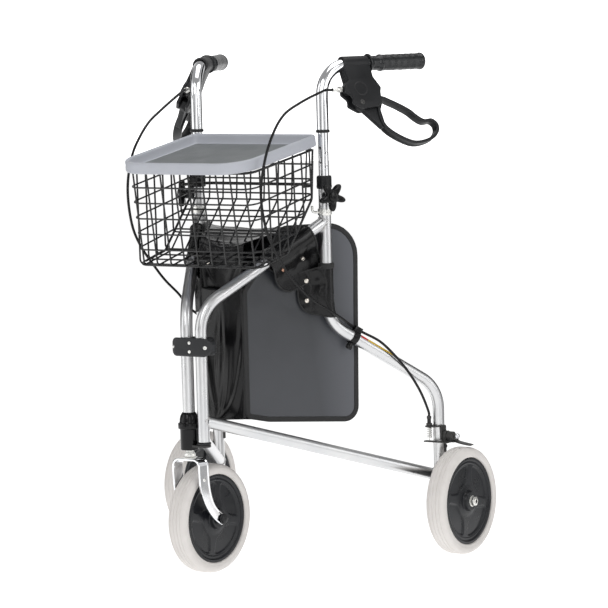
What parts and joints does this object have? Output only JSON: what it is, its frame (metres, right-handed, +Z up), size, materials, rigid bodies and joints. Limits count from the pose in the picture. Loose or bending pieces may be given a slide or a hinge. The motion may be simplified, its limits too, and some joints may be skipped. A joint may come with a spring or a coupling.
{
  "type": "three-wheel walker",
  "caption": "Folding walker with a swivelling front wheel, fixed rear wheels, adjustable handles, loop brake levers, wire basket, tray and vinyl bag.",
  "frame": {"origin": "on the floor, at the middle of the walker's plan", "axes": "+Z up, +Y back towards the user, +X to the left side of the walker as its user names it"},
  "size_m": [0.6664, 0.574, 0.9374],
  "materials": {
    "chromed_tube": "bright chromed steel tube",
    "zinc_steel": "zinc plated steel",
    "black_steel": "black powder coat",
    "black_plastic": "black moulded nylon with a fine grain",
    "cable_black": "black cable sheath",
    "grip_rubber": "charcoal moulded grip",
    "tyre_grey": "light grey solid rubber with tread grooves",
    "hub_plastic": "dark charcoal moulded plastic",
    "basket_wire": "black plastic-coated wire",
    "tray_plastic": "blue-grey moulded plastic with a fine grain",
    "vinyl_grey": "dark grey vinyl with black binding",
    "vinyl_black": "black vinyl with soft folds"
  },
  "bodies": {
    "right_frame": {"right_side_tube": "chromed_tube", "right_front_tube": "chromed_tube", "right_lower_tube": "chromed_tube", "right_clamp_collar": "black_plastic", "right_cable_clip": "black_plastic", "right_brake_cable": "cable_black", "right_brake_bracket": "black_steel", "right_brake_adjuster": "black_steel", "right_brake_spring": "zinc_steel", "right_rear_axle": "zinc_steel", "right_axle_nut": "zinc_steel", "right_bag_panel": "vinyl_grey", "right_basket_hook": "zinc_steel", "caster_housing": "black_plastic", "hinge_bracket": "black_plastic", "lower_hinge_plate": "black_steel", "bag_front_gusset": "vinyl_black", "bag_rear_panel": "vinyl_black", "bag_bottom": "vinyl_black"},
    "left_frame": {"left_side_tube": "chromed_tube", "left_front_tube": "chromed_tube", "left_lower_tube": "chromed_tube", "left_clamp_collar": "black_plastic", "left_cable_clip": "black_plastic", "left_brake_cable": "cable_black", "left_brake_bracket": "black_steel", "left_brake_adjuster": "black_steel", "left_brake_spring": "zinc_steel", "left_rear_axle": "zinc_steel", "left_axle_nut": "zinc_steel", "left_bag_panel": "vinyl_grey", "left_basket_hook": "zinc_steel", "left_leg_plug": "black_plastic"},
    "caster": {"caster_fork": "chromed_tube", "caster_stem": "zinc_steel", "front_axle": "black_steel"},
    "front_wheel": {"front_tyre": "tyre_grey", "front_hub": "hub_plastic"},
    "left_rear_wheel": {"left_rear_tyre": "tyre_grey", "left_rear_hub": "hub_plastic"},
    "right_rear_wheel": {"right_rear_tyre": "tyre_grey", "right_rear_hub": "hub_plastic"},
    "left_handle": {"left_handle_tube": "chromed_tube", "left_stop_ring": "black_plastic", "left_grip": "grip_rubber", "left_brake_housing": "black_plastic", "left_cable_barrel": "zinc_steel"},
    "right_handle": {"right_handle_tube": "chromed_tube", "right_stop_ring": "black_plastic", "right_grip": "grip_rubber", "right_brake_housing": "black_plastic", "right_cable_barrel": "zinc_steel"},
    "left_lever": {"left_brake_lever": "black_plastic"},
    "right_lever": {"right_brake_lever": "black_plastic"},
    "left_knob": {"left_clamp_knob": "black_plastic"},
    "right_knob": {"right_clamp_knob": "black_plastic"},
    "left_brake_shoe": {"left_brake_arm": "black_steel"},
    "right_brake_shoe": {"right_brake_arm": "black_steel"},
    "basket": {"basket": "basket_wire"},
    "tray": {"tray": "tray_plastic"}
  },
  "joints": [
    {"name": "fold", "type": "hinge", "parent": "right_frame", "child": "left_frame", "pos_m": [0.016, -0.2372, 0.42], "axis": [0, 0, 1], "range_deg": [0, 48], "deforming": ["left_brake_cable", "bag_front_gusset", "bag_rear_panel", "bag_bottom"]},
    {"name": "caster_swivel", "type": "hinge", "parent": "right_frame", "child": "caster", "pos_m": [-0.016, -0.2372, 0.24], "axis": [0, 0, 1], "continuous": true},
    {"name": "front_wheel_spin", "type": "hinge", "parent": "caster", "child": "front_wheel", "pos_m": [-0.01248, -0.18682, 0.1], "axis": [0.9976, -0.0698, 0], "continuous": true},
    {"name": "left_rear_wheel_spin", "type": "hinge", "parent": "left_frame", "child": "left_rear_wheel", "pos_m": [0.2999, 0.18704, 0.1], "axis": [1, 0, 0], "continuous": true},
    {"name": "right_rear_wheel_spin", "type": "hinge", "parent": "right_frame", "child": "right_rear_wheel", "pos_m": [-0.2999, 0.18704, 0.1], "axis": [1, 0, 0], "continuous": true},
    {"name": "left_handle_height", "type": "slide", "parent": "left_frame", "child": "left_handle", "axis": [0, 0, 1], "range_m": [-0.075, 0.05], "deforming": ["left_brake_cable"]},
    {"name": "right_handle_height", "type": "slide", "parent": "right_frame", "child": "right_handle", "axis": [0, 0, 1], "range_m": [-0.075, 0.05], "deforming": ["right_brake_cable"]},
    {"name": "left_brake_lever_squeeze", "type": "hinge", "parent": "left_handle", "child": "left_lever", "pos_m": [0.1974, 0.02719, 0.8463], "axis": [0.828, -0.3497, 0.4384], "range_deg": [0, 20], "stiffness_Nm_per_rad": 1.5, "springref_deg": -17.19},
    {"name": "right_brake_lever_squeeze", "type": "hinge", "parent": "right_handle", "child": "right_lever", "pos_m": [-0.1974, 0.02719, 0.8463], "axis": [0.828, 0.3497, -0.4384], "range_deg": [0, 20], "stiffness_Nm_per_rad": 1.5, "springref_deg": -17.19},
    {"name": "left_brake_shoe_press", "type": "hinge", "parent": "left_frame", "child": "left_brake_shoe", "pos_m": [0.2821, 0.18304, 0.221], "axis": [-1, 0, 0], "range_deg": [0, 10]},
    {"name": "right_brake_shoe_press", "type": "hinge", "parent": "right_frame", "child": "right_brake_shoe", "pos_m": [-0.2821, 0.18304, 0.221], "axis": [-1, 0, 0], "range_deg": [0, 10]},
    {"name": "left_clamp_knob_turn", "type": "hinge", "parent": "left_frame", "child": "left_knob", "pos_m": [0.14172, -0.01225, 0.681], "axis": [0.8729, -0.4879, 0], "continuous": true},
    {"name": "right_clamp_knob_turn", "type": "hinge", "parent": "right_frame", "child": "right_knob", "pos_m": [-0.14172, -0.01225, 0.681], "axis": [-0.8729, -0.4879, 0], "continuous": true},
    {"name": "basket_lift", "type": "slide", "parent": "right_frame", "child": "basket", "axis": [0, 0, 1], "range_m": [0, 0.15]},
    {"name": "tray_lift", "type": "slide", "parent": "basket", "child": "tray", "axis": [0, 0, 1], "range_m": [0, 0.12]}
  ],
  "couplings": [
    {"joint": "left_brake_shoe_press", "follows": "left_brake_lever_squeeze", "ratio": 0.5},
    {"joint": "right_brake_shoe_press", "follows": "right_brake_lever_squeeze", "ratio": 0.5}
  ]
}
